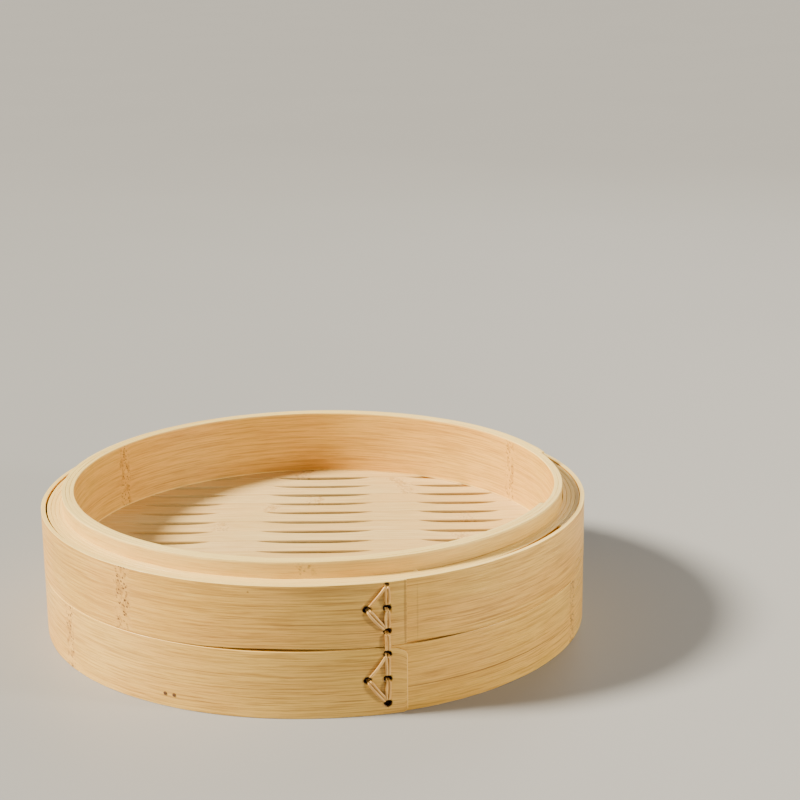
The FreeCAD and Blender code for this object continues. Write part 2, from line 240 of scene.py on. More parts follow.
def bambooMaterial(name, values, findGrain=grainMap):
    # split bamboo: fibres, long streaks, tone patches, node bands with dark specks, pale cut edges
    made, tree, shader = newMaterial(name)
    along, across = findGrain(tree)

    def pattern(key, height):
        shift, *rest = patterns[key]
        return stretchedNoise(tree, along, height, values["seed"] + shift, *rest)

    # node bands come every nodeGap along the grain; inside one the fibres swirl
    strayed = figure(tree, "ADD", along, aroundZero(tree, pattern("wander", across), nodeBand["stray"]))
    half = values["nodeGap"] / 2
    fromNode = figure(tree, "WRAP", figure(tree, "SUBTRACT", strayed, values["nodeAt"]), -half, half)
    distance = figure(tree, "ABSOLUTE", fromNode)
    band = ramp(tree, distance, *nodeBand["outer"])
    inner = ramp(tree, distance, *nodeBand["inner"])
    swirl = pattern("swirl", across)
    bend = figure(tree, "MULTIPLY", aroundZero(tree, swirl, nodeBand["bend"]), band)
    level = figure(tree, "ADD", across, bend)

    fibre, strand, thread, streak = (pattern(key, level) for key in ("fibre", "strand", "thread", "streak"))
    patch, drift, cast = (pattern(key, across) for key in ("patch", "drift", "cast"))

    # pattern, where its blend starts and ends, how strong it gets, and the colour that it brings
    layers = [
        (drift, 0.34, 0.66, 1.0, "warm"),
        (cast, 0.50, 0.68, 0.55, "olive"),
        (patch, 0.42, 0.70, 0.6, "pink"),
        (streak, 0.46, 0.68, values["streakDepth"], "deep"),
        (strand, 0.47, 0.62, values["strandDepth"], "deep"),
        (strand, 0.46, 0.34, 0.7, "light"),
        (thread, 0.55, 0.64, values["threadDepth"], "dark"),
        (fibre, 0.46, 0.70, values["fibreDepth"], "deep"),
    ]
    body = values["light"]
    for layer, start, end, depth, tone in layers:
        body = blendColour(tree, ramp(tree, layer, start, end, 0.0, depth), body, values[tone])
    stroke = figure(tree, "MULTIPLY", ramp(tree, strand, 0.60, 0.72), ramp(tree, patch, 0.46, 0.62))
    body = blendColour(tree, figure(tree, "MULTIPLY", stroke, values["darkDepth"]), body, values["dark"])

    # strokes and specks crowd the node bands
    speckShape, speckPick = nodeSpecks(tree, along, across, values["seed"])
    speck = figure(tree, "MULTIPLY", figure(tree, "MULTIPLY", speckShape, inner),
                   ramp(tree, speckPick, 0.16, 0.52, 0.0, values["nodeDepth"]))
    turned = figure(tree, "MULTIPLY", inner, ramp(tree, swirl, 0.50, 0.60, 0.0, 0.6))
    body = blendColour(tree, figure(tree, "MULTIPLY", band, 0.35), body, values["pink"])
    body = blendColour(tree, turned, body, values["deep"])
    body = blendColour(tree, speck, body, values["speck"])
    if values.get("scorches"):
        body = blendColour(tree, markShade(tree, along, across, values["scorches"]), body, values["speck"])

    # cut edges show paler end fibres (on the lower lap's tip partly a painted highlight); the strips carry
    # where they are
    if values["edge"]:
        cut = addTo(tree, "ShaderNodeAttribute", attribute_name="pale")
        edge = blendColour(tree, ramp(tree, pattern("fine", across), 0.46, 0.78, 0.0, 0.6), values["edge"],
                           values["edgeLine"])
        edge = blendColour(tree, ramp(tree, patch, 0.50, 0.8, 0.0, 0.5), edge, values["light"])
        share = figure(tree, "ADD", cut.outputs["Fac"], aroundZero(tree, fibre, 0.5))
        body = blendColour(tree, ramp(tree, share, 0.20, 0.75), body, edge)
    # dark fibres and stains; one of the lower hoop's marks is painted shade in its open seam
    if values.get("marks"):
        body = blendColour(tree, markShade(tree, along, across, values["marks"]), body, values["dark"])
    tree.links.new(body, shader.inputs["Base Color"])

    rough = figure(tree, "ADD", ramp(tree, patch, 0.3, 0.7, values["rough"] - 0.05, values["rough"] + 0.06),
                   ramp(tree, strand, 0.3, 0.7, -0.05, 0.07))
    tree.links.new(rough, shader.inputs["Roughness"])
    shader.inputs["Specular IOR Level"].default_value = values["gloss"]
    relief = figure(tree, "ADD", figure(tree, "MULTIPLY", fibre, 0.5), strand)
    relief = figure(tree, "SUBTRACT", relief, figure(tree, "MULTIPLY", speck, 0.8))
    addBump(tree, shader, relief, values["bump"], 0.25 * mm)
    return made


# bearings in degrees; hole and ply sizes are halves
cane = {
    "stitch": 15.8, "spread": 3.8,        # the stitch line, and how far left a triangle's corner is
    "tieTurn": 120.0,                     # the tie stitches' bearing from the line
    "tieReach": 7.0 * mm,                 # and their holes' distance from the seam
    "holeWide": 2.15 * mm, "holeTall": 1.75 * mm,
    "topHole": 0.55,                      # the top hole's share of that size
    "plyWide": 0.68 * mm, "plyThick": 0.55 * mm,
    "plyApart": 0.82 * mm,                # from the run's middle line
    "pinch": 0.40,                        # the share of that lost at the holes
    "lift": 0.55 * mm,                    # how proud of the hoop a run stands
    "crown": 0.40 * mm,                   # and how much more in its middle
    "dive": 2.6 * mm, "diveRun": 1.35 * mm,            # into the hole, over this length
    "insetTop": 0.35 * mm, "insetLow": 1.15 * mm,      # from the holes' middles to a run's ends
    "twist": 0.18, "tilt": 0.12,          # radians, along a ply and from its neighbour
    "stray": 0.12 * mm, "taper": 0.30,
    "plySteps": 46, "plySides": 14, "holeSides": 28,
    "mapRound": 5.0 * mm,                 # the grain map's width round a ply, and its jumps between plies
    "jumpAlong": 0.11, "jumpRound": 0.07,
}
lowerRungs = np.array([5.8, 18.8, 31.8]) * mm        # heights of the holes
upperRungs = np.array([43.4, 55.55, 67.7]) * mm


def hoopHoles(rungs):
    # stitch line, the side corner of the triangle, and the two ties: bearing, height, share of the full size
    low, middle, high = rungs
    upper = low > seam
    tie = seam + cane["tieReach"] * (1 if upper else -1)
    line = [(cane["stitch"], low, 1.0), (cane["stitch"], middle, 1.0),
            (cane["stitch"], high, cane["topHole"] if upper else 1.0)]
    ties = [(cane["stitch"] + turn * cane["tieTurn"], tie, 1.0) for turn in (-1, 1)]
    return line + [(cane["stitch"] - cane["spread"], middle, 1.0)] + ties


def scorchesOf(rungs, foot):
    # brown halo round each hole, also where the lapped strip passes it a turn earlier
    return [(bearing + lap, height - foot, 3.1 * share * mm, 2.5 * share * mm, 0.75)
            for bearing, height, share in hoopHoles(rungs) for lap in (0.0, -360.0)]


outerBamboo = {
    "seed": 0.0, "light": (0.82, 0.525, 0.122), "warm": (0.74, 0.405, 0.066), "pink": (0.79, 0.44, 0.105),
    "olive": (0.66, 0.415, 0.070), "deep": (0.42, 0.200, 0.026), "dark": (0.225, 0.092, 0.017),
    "speck": (0.085, 0.030, 0.008), "edge": (1.0, 0.77, 0.28), "edgeLine": (0.74, 0.46, 0.11),
    "strandDepth": 0.46, "fibreDepth": 0.36, "streakDepth": 0.30, "threadDepth": 0.30, "darkDepth": 0.50,
    "nodeDepth": 0.95, "nodeGap": 0.31, "nodeAt": 0.0, "rough": 0.34, "gloss": 0.42, "bump": 0.5,
}
upperBamboo = dict(outerBamboo, seed=2.0, nodeAt=math.radians(-37.5) * grainRadius,
                   scorches=scorchesOf(upperRungs, seam))
lowerBamboo = dict(outerBamboo, seed=21.0, edge=(0.93, 0.64, 0.20), nodeAt=math.radians(-56.5) * grainRadius,
                   scorches=scorchesOf(lowerRungs, 0.0))
# dark fibres and stains, and on the lower hoop one painted shade: bearing, height up the strip, half length,
# half height, depth; past the lap's end the strip is a turn earlier
upperBamboo["marks"] = [
    (2.0, 13.0 * mm, 30 * mm, 0.45 * mm, 0.55), (6.0, 29.5 * mm, 34 * mm, 1.9 * mm, 0.30),
    (2.0, 31.8 * mm, 34 * mm, 1.0 * mm, 0.35), (10.0, 8.0 * mm, 18 * mm, 0.35 * mm, 0.45),
    (9.0, 20.5 * mm, 12 * mm, 0.30 * mm, 0.5), (-3.0, 17.5 * mm, 16 * mm, 0.30 * mm, 0.4),
    (19.4, 17.0 * mm, 0.85 * mm, 26 * mm, 0.46), (20.3 - 360.0, 15.0 * mm, 0.55 * mm, 19 * mm, 0.22),
    (-9.9, 30.2 * mm, 0.7 * mm, 0.45 * mm, 0.8),
]
lowerBamboo["marks"] = [
    (36.0 - 360.0, 12.8 * mm, 74 * mm, 0.34 * mm, 0.85), (8.5, 8.6 * mm, 12 * mm, 0.4 * mm, 0.55),
    (-30.0, 21.0 * mm, 26 * mm, 0.35 * mm, 0.35), (18.0, 11.2 * mm, 4.5 * mm, 0.35 * mm, 0.55),
    (25.0 - 360.0, 36.4 * mm, 21 * mm, 1.3 * mm, 0.9),      # painted shade on the top edge, where the open seam lies in shadow
]
wallBamboo = dict(outerBamboo, seed=44.0, light=(0.80, 0.50, 0.120), warm=(0.72, 0.385, 0.064),
                  pink=(0.78, 0.44, 0.100), nodeDepth=0.65, nodeAt=0.002, nodeGap=0.29, rough=0.38,
                  strandDepth=0.40, darkDepth=0.30, threadDepth=0.22)
packBamboo = dict(outerBamboo, seed=60.0, nodeAt=0.1, edge=(0.98, 0.73, 0.25))
slatBamboo = dict(outerBamboo, seed=80.0, light=(0.90, 0.69, 0.31), warm=(0.85, 0.59, 0.22),
                  pink=(0.88, 0.62, 0.27), olive=(0.80, 0.59, 0.22), deep=(0.60, 0.36, 0.11),
                  dark=(0.44, 0.23, 0.06), edge=None, strandDepth=0.33, fibreDepth=0.33, streakDepth=0.25,
                  darkDepth=0.25, threadDepth=0.2, nodeDepth=0.4, nodeGap=0.27, rough=0.46, gloss=0.4)
barBamboo = dict(slatBamboo, seed=95.0, light=(0.74, 0.52, 0.22), warm=(0.66, 0.42, 0.14))
splitCane = {
    "light": (0.87, 0.56, 0.19), "warm": (0.68, 0.38, 0.095), "fibre": (0.34, 0.16, 0.040), "fibreDepth": 0.8,
    "bump": 0.5,
}


def caneMaterial():
    # split cane: long glossy fibres and slow changes of tone
    made, tree, shader = newMaterial("splitCane")
    along, across = grainMap(tree)
    fibre = stretchedNoise(tree, along, across, 4.0, 90.0, 2600.0, 3.0, 0.6)
    tone = stretchedNoise(tree, along, across, 9.0, 60.0, 90.0)
    body = blendColour(tree, ramp(tree, tone, 0.35, 0.65), splitCane["light"], splitCane["warm"])
    body = blendColour(tree, ramp(tree, fibre, 0.45, 0.75, 0.0, splitCane["fibreDepth"]), body,
                       splitCane["fibre"])
    tree.links.new(body, shader.inputs["Base Color"])
    tree.links.new(ramp(tree, fibre, 0.3, 0.7, 0.30, 0.44), shader.inputs["Roughness"])
    addBump(tree, shader, fibre, splitCane["bump"], 0.15 * mm)
    return made


def burntMaterial(name, dark, light):
    # scorched wall of a burnt hole, or the dark end grain of a pin
    made, tree, shader = newMaterial(name)
    noise = objectNoise(tree, 1800.0)
    tree.links.new(blendColour(tree, ramp(tree, noise, 0.35, 0.65), dark, light), shader.inputs["Base Color"])
    tree.links.new(ramp(tree, noise, 0.3, 0.7, 0.62, 0.85), shader.inputs["Roughness"])
    return made


materials = {
    "upper": bambooMaterial("upperBamboo", upperBamboo),
    "lower": bambooMaterial("lowerBamboo", lowerBamboo),
    "wall": bambooMaterial("wallBamboo", wallBamboo),
    "pack": bambooMaterial("packBamboo", packBamboo),
    "slat": bambooMaterial("slatBamboo", slatBamboo),
    "bar": bambooMaterial("barBamboo", barBamboo),
    "support": bambooMaterial("supportBamboo", wallBamboo, grainRound),
    "cane": caneMaterial(),
    "burnt": burntMaterial("burntHole", (0.020, 0.007, 0.005), (0.060, 0.023, 0.012)),
    "pin": burntMaterial("pinEnd", (0.065, 0.026, 0.010), (0.15, 0.068, 0.026)),
}
print("materials made")


def wave(turn, seed, slow, fast, size):
    # sum of sines with whole counts per turn, from slow to fast, so that it closes on itself
    dice = np.random.default_rng(seed)
    counts = np.arange(slow, fast + 1)
    lift = dice.normal(size=counts.size) / np.sqrt(counts)
    phase = dice.uniform(0, 2 * np.pi, counts.size)
    total = lift @ np.sin(counts[:, None] * turn.ravel()[None, :] + phase[:, None])
    return (size * total / np.sqrt((lift ** 2).sum())).reshape(turn.shape)


def ease(u):
    # 3u^2 - 2u^3, held at 0 and 1
    u = np.clip(u, 0.0, 1.0)
    return u * u * (3 - 2 * u)


def hump(value, middle, width):
    # bell: e^-((value - middle) / width)^2
    return np.exp(-((value - middle) / width) ** 2)


def addPiece(name, tubes, material, node, pale=None):
    # one mesh of closed tubes. A tube is a grid of points, points[station, place round the section], and
    # its grain map's two grids, with one column more; pale, where cut edges show, is a point attribute
    points, faces, grain, first = [], [], [], 0
    for grid, along, across in tubes:
        stations, places = grid.shape[:2]
        corner = first + np.arange(stations)[:, None] * places + np.arange(places)
        beside = np.roll(corner, -1, 1)
        quads = np.stack([corner[:-1], corner[1:], beside[1:], beside[:-1]], -1)
        faces += quads.reshape(-1, 4).tolist() + [corner[0].tolist(), corner[-1, ::-1].tolist()]
        flat = np.stack([along, across], -1)
        grain.append(np.stack([flat[:-1, :-1], flat[1:, :-1], flat[1:, 1:], flat[:-1, 1:]], 2).reshape(-1, 2))
        grain += [flat[0, :-1], flat[-1, -2::-1]]
        points.append(grid.reshape(-1, 3))
        first += stations * places
    mesh = bpy.data.meshes.new(name)
    mesh.from_pydata(np.concatenate(points).tolist(), [], faces)
    mesh.uv_layers.new(name="grain").data.foreach_set("uv", np.concatenate(grain).ravel())
    mesh.polygons.foreach_set("use_smooth", [True] * len(mesh.polygons))
    if pale is not None:
        mesh.attributes.new("pale", "FLOAT", "POINT").data.foreach_set("value", pale.ravel())
    mesh.materials.append(material)
    piece = bpy.data.objects.new(name, mesh)
    bpy.context.scene.collection.objects.link(piece)
    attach(piece, "root")
    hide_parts(node)
    return piece


def stripSection(faceSteps, edgeSteps, cornerSteps=4):
    # round-cornered rectangle, as rows of weights side, rise, outShift and upShift: a point is at
    # inner + (outer - inner) * side + corner * outShift, and low + (high - low) * rise + corner * upShift.
    # A corner is a quarter circle; the rows start at the outer lower one and climb
    corners = []
    for start, side, rise in ((-90, 1, 0), (0, 1, 1), (90, 0, 1), (180, 0, 0)):
        angle = np.radians(np.linspace(start, start + 90, cornerSteps))
        outShift = np.cos(angle) + (-1 if side else 1)
        upShift = np.sin(angle) + (-1 if rise else 1)
        corners.append(np.stack([np.full_like(angle, side), np.full_like(angle, rise),
                                 outShift, upShift], -1))
    section = []
    for k, steps in enumerate((faceSteps, edgeSteps, faceSteps, edgeSteps)):
        start, end = corners[k][-1], corners[(k + 1) % 4][0]
        share = (0.5 - 0.5 * np.cos(np.linspace(0, np.pi, steps + 1)))[1:-1, None]
        section += [corners[k], start + (end - start) * share]
    return np.concatenate(section).T


def lengthRound(first, second):
    # distance walked round a closed section, from 0 to its whole length
    step = np.hypot(np.diff(first, append=first[:1]), np.diff(second, append=second[:1]))
    return np.concatenate([[0.0], np.cumsum(step)])


strips = {
    "cornerShare": 0.42,         # most of the thickness that a corner takes
    "tipLength": 0.40 * mm,      # how far back from its end a strip shows cut fibres, on the lower hoop with a painted highlight
}


def bentStrip(name, bearing, outer, inner, low, high, section, material, node, corner,
              drift=0.0, paleReach=0.5 * mm, tipPaleAndHighlight=0.0, paleFace=0.0):
    # strip on edge, carried round the axis: a section point is at (r sin bearing, -r cos bearing, z), with
    # r between inner(bearing) and outer(bearing), z between low(bearing) and high(bearing)
    side, rise, outShift, upShift = section
    corner = np.minimum(corner, strips["cornerShare"] * (outer - inner))[:, None]
    radius = inner[:, None] + (outer - inner)[:, None] * side + corner * outShift
    height = low[:, None] + (high - low)[:, None] * rise + corner * upShift
    turn = np.radians(bearing - 90.0)[:, None]
    points = np.stack([radius * np.cos(turn), radius * np.sin(turn), height], -1)
    middle = len(bearing) // 2
    across = lengthRound(radius[middle], height[middle]) + drift
    length = np.radians(bearing) * outer.max()
    along = np.repeat(length[:, None], len(across), 1)
    # pale near both edges, on the tip, and a little on the outside face
    fromEdge = np.minimum(height - low[:, None], high[:, None] - height)
    pale = 1.0 - np.clip(fromEdge / paleReach, 0.0, 1.0)
    tip = length[-1] - length < strips["tipLength"]
    pale = np.where(tip[:, None], np.maximum(pale, tipPaleAndHighlight), pale)
    pale = np.maximum(pale, paleFace * np.clip(side, 0, 1)[None, :])
    tube = (points, along, np.repeat(across[None, :], len(bearing), 0))
    return addPiece(name, [tube], material, node, pale)


# a hoop is one strip bent to a ring, whose ends lap: thinned under, and climbing over; bearings in degrees
hoops = {
    "thick": 2.5 * mm, "lapRise": 0.9 * mm, "lapEnd": 19.7, "lapLength": 35.0, "lapLift": 15.0,
    "tip": 0.6 * mm, "slit": 0.12 * mm, "overlay": 0.02 * mm, "step": 0.36, "endRun": 2.0, "endSteps": 26,
    "bulge": 0.10 * mm, "ripple": 0.035 * mm, "bulgeOut": 0.6, "bulgeIn": 0.3,     # shares on each face
    "corner": 0.25 * mm, "paleReach": 0.28 * mm,
    "rimDrop": 0.12 * mm, "rimWave": 0.05 * mm, "footWave": 0.10 * mm,
    "topDrop": 0.05 * mm, "topWave": 0.05 * mm,
    # the end's corners are quarter ellipses: their length along the strip, and their height
    "upperRound": (0.5 * mm, 0.5 * mm), "lowerRound": (14.0 * mm, 5.0 * mm),
    "footRound": (2.6 * mm, 2.6 * mm),
    "holeFloor": 0.3 * mm,       # bamboo left under a stitch hole
    "drillPast": 4.0 * mm,
}
# the open line between the hoops: closed at the left, widest in front, and open again past the lacing
seamLine = {
    "least": 0.30 * mm, "waveStart": 9, "waveEnd": 60, "wave": 0.05 * mm,
    "humps": [(-5.0, 11.0, 1.20 * mm), (10.0, 14.0, 0.35 * mm),      # bearing, half-width, height
              (23.5, 6.0, 0.85 * mm), (140.0, 30.0, 0.25 * mm)],
}


def wrapBearing(bearing):
    # the same bearing between -180 and 180
    return (bearing + 180.0) % 360.0 - 180.0


def lapStations():
    # bearings from the hidden end to the lap's end, even, then crowded at the lap's rounded corners
    start = hoops["lapEnd"] - hoops["lapLength"] - 360.0
    even = np.arange(start, hoops["lapEnd"] - 1.1 * hoops["endRun"], hoops["step"])
    crowded = hoops["lapEnd"] - hoops["endRun"] * np.linspace(1, 0, hoops["endSteps"]) ** 1.6
    return np.concatenate([even, crowded])


def lapRadii(bearing):
    # outside and inside radius of a lapped hoop; the visible end climbs over the shaved one
    end, lap = hoops["lapEnd"], hoops["lapLength"]
    back = hoopRadius - hoops["thick"]
    hidden = back + hoops["tip"]
    climb = ease((bearing - (end - hoops["lapLift"])) / hoops["lapLift"])
    outer = hoopRadius + hoops["lapRise"] * climb
    buried = ease((bearing - (end - lap - 360.0)) / lap)
    outer = np.where(bearing < end - 360.0, hidden + (hoopRadius - hoops["slit"] - hidden) * buried, outer)
    over = ease((bearing - (end - lap)) / lap)
    lifted = hidden + hoops["slit"] + (hoopRadius + hoops["overlay"] - hidden - hoops["slit"]) * over
    inner = np.where(bearing > end - lap, lifted, back)
    return outer, inner


def seamGap(turn):
    # least gap, plus the humps, plus the unevenness of two sawn edges
    bearing = wrapBearing(np.degrees(turn))
    uneven = np.abs(wave(turn, 5, seamLine["waveStart"], seamLine["waveEnd"], seamLine["wave"]))
    humps = sum(tall * hump(bearing, middle, width) for middle, width, tall in seamLine["humps"])
    return seamLine["least"] + humps + uneven


def lappedHoop(name, node, low, high, material, seed, topRound, footRound, tipPaleAndHighlight):
    # the corners of the visible end are quarter ellipses: tall * (1 - sqrt(1 - (distance / long)^2))
    bearing = lapStations()
    turn = np.radians(bearing)
    outer, inner = lapRadii(bearing)
    bulge = wave(turn, seed, 2, 9, hoops["bulge"]) + wave(turn, seed + 1, 16, 44, hoops["ripple"])
    bulge = bulge - bulge.max()
    fromEnd = np.radians(hoops["lapEnd"] - bearing) * hoopRadius
    foot, top = (tall * (1 - np.sqrt(1 - np.clip(1 - fromEnd / long, 0, 1) ** 2))
                 for long, tall in (footRound, topRound))
    outer, inner = outer + bulge * hoops["bulgeOut"], inner + bulge * hoops["bulgeIn"]
    return bentStrip(name, bearing, outer, inner, low(turn) + foot, high(turn) - top, stripSection(14, 5),
                     material, node, hoops["corner"], paleReach=hoops["paleReach"],
                     tipPaleAndHighlight=tipPaleAndHighlight)


upperHoop = lappedHoop("upperHoop", "upper_hoop",
                       lambda turn: seam + seamGap(turn),
                       lambda turn: rim - hoops["rimDrop"] + wave(turn, 11, 3, 40, hoops["rimWave"]),
                       materials["upper"], 3, hoops["upperRound"], hoops["upperRound"], 0.15)
# its lap's tip is pale all over: cut fibres, and in part a painted highlight where the edge catches the light
lowerHoop = lappedHoop("lowerHoop", "lower_hoop",
                       lambda turn: np.abs(wave(turn, 17, 5, 60, hoops["footWave"])),
                       lambda turn: seam - hoops["topDrop"] + wave(turn, 23, 4, 50, hoops["topWave"]),
                       materials["lower"], 7, hoops["lowerRound"], hoops["footRound"], 1.0)
print("hoops bent")

# what the wound strips share, and then each one's own: its outside radius, the strip's thickness, how many
# turns it has, and the bearing of its outer end
windings = {
    "gap": 0.2 * mm, "stepAngle": 40.0, "step": 0.72, "fill": 0.055 * mm, "corner": 0.16 * mm,
    "uneven": 0.05 * mm, "ragged": 0.10 * mm, "endCut": 0.2, "grainJump": 0.01,
}
shoulder = {
    "outside": boxOf("shoulder_winding")[1][1], "strip": 1.95 * mm, "turns": 4, "bearing": 64.0, "seed": 31,
    "closeAt": -78.0, "closeOver": 34.0, "openAt": 140.0, "openOver": 60.0, "push": 0.58 * mm,
    "lensAt": -12.5, "lensWide": 3.4, "lensPull": 0.8 * mm,
}
innerWall = {
    "outside": hoopRadius - 11.6 * mm, "strip": 2.0 * mm, "turns": 3, "bearing": 108.0, "seed": 41,
    "paleFace": 0.42,            # its outside was shaved, so it is as pale as this share of a cut edge
}
base = {
    "outside": boxOf("base_winding")[1][1], "strip": 1.65 * mm, "turns": 4, "bearing": 205.0, "seed": 51,
    "lift": 0.1 * mm,            # above the foot of the hoop
}


def woundStrip(name, node, plan, material, spread=None):
    # strip wound inwards: each turn is round, and eases in by one pitch on its last stretch;
    # spread(bearing) pushes the outermost turn out, and each one inside it a share less
    turns, seed, stepAngle = plan["turns"], plan["seed"], windings["stepAngle"]
    pitch = plan["strip"] + windings["gap"]
    travel = np.arange(0.0, 360.0 * turns - stepAngle - windings["endCut"], windings["step"])
    inStep = ease((travel % 360.0 - (360.0 - stepAngle)) / stepAngle)
    depth = np.floor(travel / 360.0) + inStep
    bearing = plan["bearing"] + travel
    outer = plan["outside"] - pitch * depth
    inner = outer - plan["strip"]
    if spread:
        push = spread(bearing)
        outer = outer + push * np.clip(1 - depth / turns, 0, 1)
        inner = inner + push * np.clip(1 - (depth + 1) / turns, 0, 1)
    share = np.radians(travel) / turns
    thin = np.abs(wave(share, seed, 2 * turns, 30 * turns, windings["uneven"]))
    low, high = boxOf(node)
    top = high[2] - np.abs(wave(share, seed + 1, turns, 40 * turns, windings["ragged"]))
    return bentStrip(name, bearing, outer + windings["fill"] - thin, inner - windings["fill"],
                     np.full_like(top, low[2] + plan.get("lift", 0.0)), top, stripSection(8, 5), material,
                     node, windings["corner"], drift=seed * windings["grainJump"],
                     paleFace=plan.get("paleFace", 0.0))


def shoulderSpread(bearing):
    # it presses against the hoop in front, and stands clear of it at the sides and behind, and in one
    # short lens: push * close - pull * hump
    b = wrapBearing(bearing)
    close = (ease((b - shoulder["closeAt"]) / shoulder["closeOver"])
             * ease((shoulder["openAt"] - b) / shoulder["openOver"]))
    return shoulder["push"] * close - shoulder["lensPull"] * hump(b, shoulder["lensAt"], shoulder["lensWide"])


woundStrip("shoulderWinding", "shoulder_winding", shoulder, materials["pack"],
           spread=shoulderSpread)
woundStrip("innerWall", "inner_wall_winding", innerWall, materials["wall"])
woundStrip("baseWinding", "base_winding", base, materials["pack"])
print("strips wound")

slat = {
    "notchDepth": 4.6 * mm, "notchLength": 66 * mm, "sideLength": 50 * mm, "corner": 0.45 * mm,
    "sideGap": 0.05 * mm, "wobble": 0.10 * mm, "unevenTop": 0.18 * mm, "lift": 0.05 * mm, "drop": 0.04 * mm,
    "grainJump": 0.173, "steps": 240, "crowd": 1.02,
}
bar = {"shorter": 0.1 * mm, "wobble": 0.05 * mm, "drop": 0.05 * mm, "steps": 60}
barLow, barHigh = boxOf("crossbar_right")
barOffset = (barLow[0] + barHigh[0]) / 2


def notch(x, middle, length, depth):
    # long shallow scoop: depth * (1 - |w|^3)^0.85, w from -1 to 1 along its length
    w = np.clip(np.abs(x - middle) / (length / 2), 0, 1)
    return depth * (1 - w ** 3) ** 0.85


def notches(x, depth):
    # one scoop between the bars, and one outside each, as far from it
    sideAt = 2 * barOffset - slat["notchLength"] / 2 + slat["sideLength"] / 2
    return (notch(x, 0.0, slat["notchLength"], depth) + notch(x, sideAt, slat["sideLength"], depth)
            + notch(x, -sideAt, slat["sideLength"], depth))


def board(endRadius, lowSide, highSide, bottom, top, seed, faceSteps, steps, wobble, depth=0.0):
    # board along X: a round-cornered section between two edges that stray by a sine, its ends on a circle:
    # x = share * sqrt(endRadius^2 - y^2), share from -1 to 1, its steps a little closer at the ends; notches
    # are cut into the far edge
    side, rise, outShift, upShift = stripSection(faceSteps, 12)[:, ::-1]
    side, outShift = 1 - side, -outShift
    share = np.linspace(-1, 1, steps)
    share = np.sign(share) * (1 - (1 - np.abs(share)) ** slat["crowd"])
    middle = (lowSide + highSide) / 2
    midline = share * math.sqrt(endRadius ** 2 - min(middle ** 2, (0.98 * endRadius) ** 2))
    dice = np.random.default_rng(seed)
    stray = wobble * np.sin(midline * dice.uniform(20, 45) + dice.uniform(0, 6))
    near = lowSide + slat["sideGap"] + stray
    far = highSide - slat["sideGap"] + stray - notches(midline, depth)
    y = near[:, None] + (far - near)[:, None] * side + slat["corner"] * outShift
    z = np.broadcast_to(bottom + (top - bottom) * rise + slat["corner"] * upShift, y.shape)
    x = share[:, None] * np.sqrt(np.maximum(endRadius ** 2 - y ** 2, (0.1 * endRadius) ** 2))
    across = lengthRound(y[steps // 2], z[steps // 2]) + seed * slat["grainJump"]
    along = np.repeat(midline[:, None], len(across), 1) + dice.uniform(0, 3)
    return np.stack([x, y, z], -1), along, np.repeat(across[None, :], steps, 0)


slatNames = sorted(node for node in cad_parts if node.startswith("floor_slat"))
endRadius = boxOf(slatNames[len(slatNames) // 2])[1][0]
for index, node in enumerate(slatNames):
    low, high = boxOf(node)
    depth = 0.0 if node == slatNames[-1] else slat["notchDepth"]
    top = high[2] - slat["drop"] - slat["unevenTop"] * ((index * 7) % 5) / 5
    tube = board(endRadius, low[1], high[1], low[2] + slat["lift"], top, index + 1, 2, slat["steps"],
                 slat["wobble"], depth)
    addPiece(f"floorSlat{index + 1:02d}", [tube], materials["slat"], node)
for name, node, seed in (("crossbarLeft", "crossbar_left", 44), ("crossbarRight", "crossbar_right", 45)):
    low, high = boxOf(node)
    top = high[2] - bar["drop"]
    points, along, across = board(endRadius - bar["shorter"], -high[0], -low[0], low[2], top, seed, 1,
                                  bar["steps"], bar["wobble"])
    quarterTurn = np.stack([-points[..., 1], points[..., 0], points[..., 2]], -1)
    addPiece(name, [(quarterTurn, along, across)], materials["bar"], node)
print("floor laid")


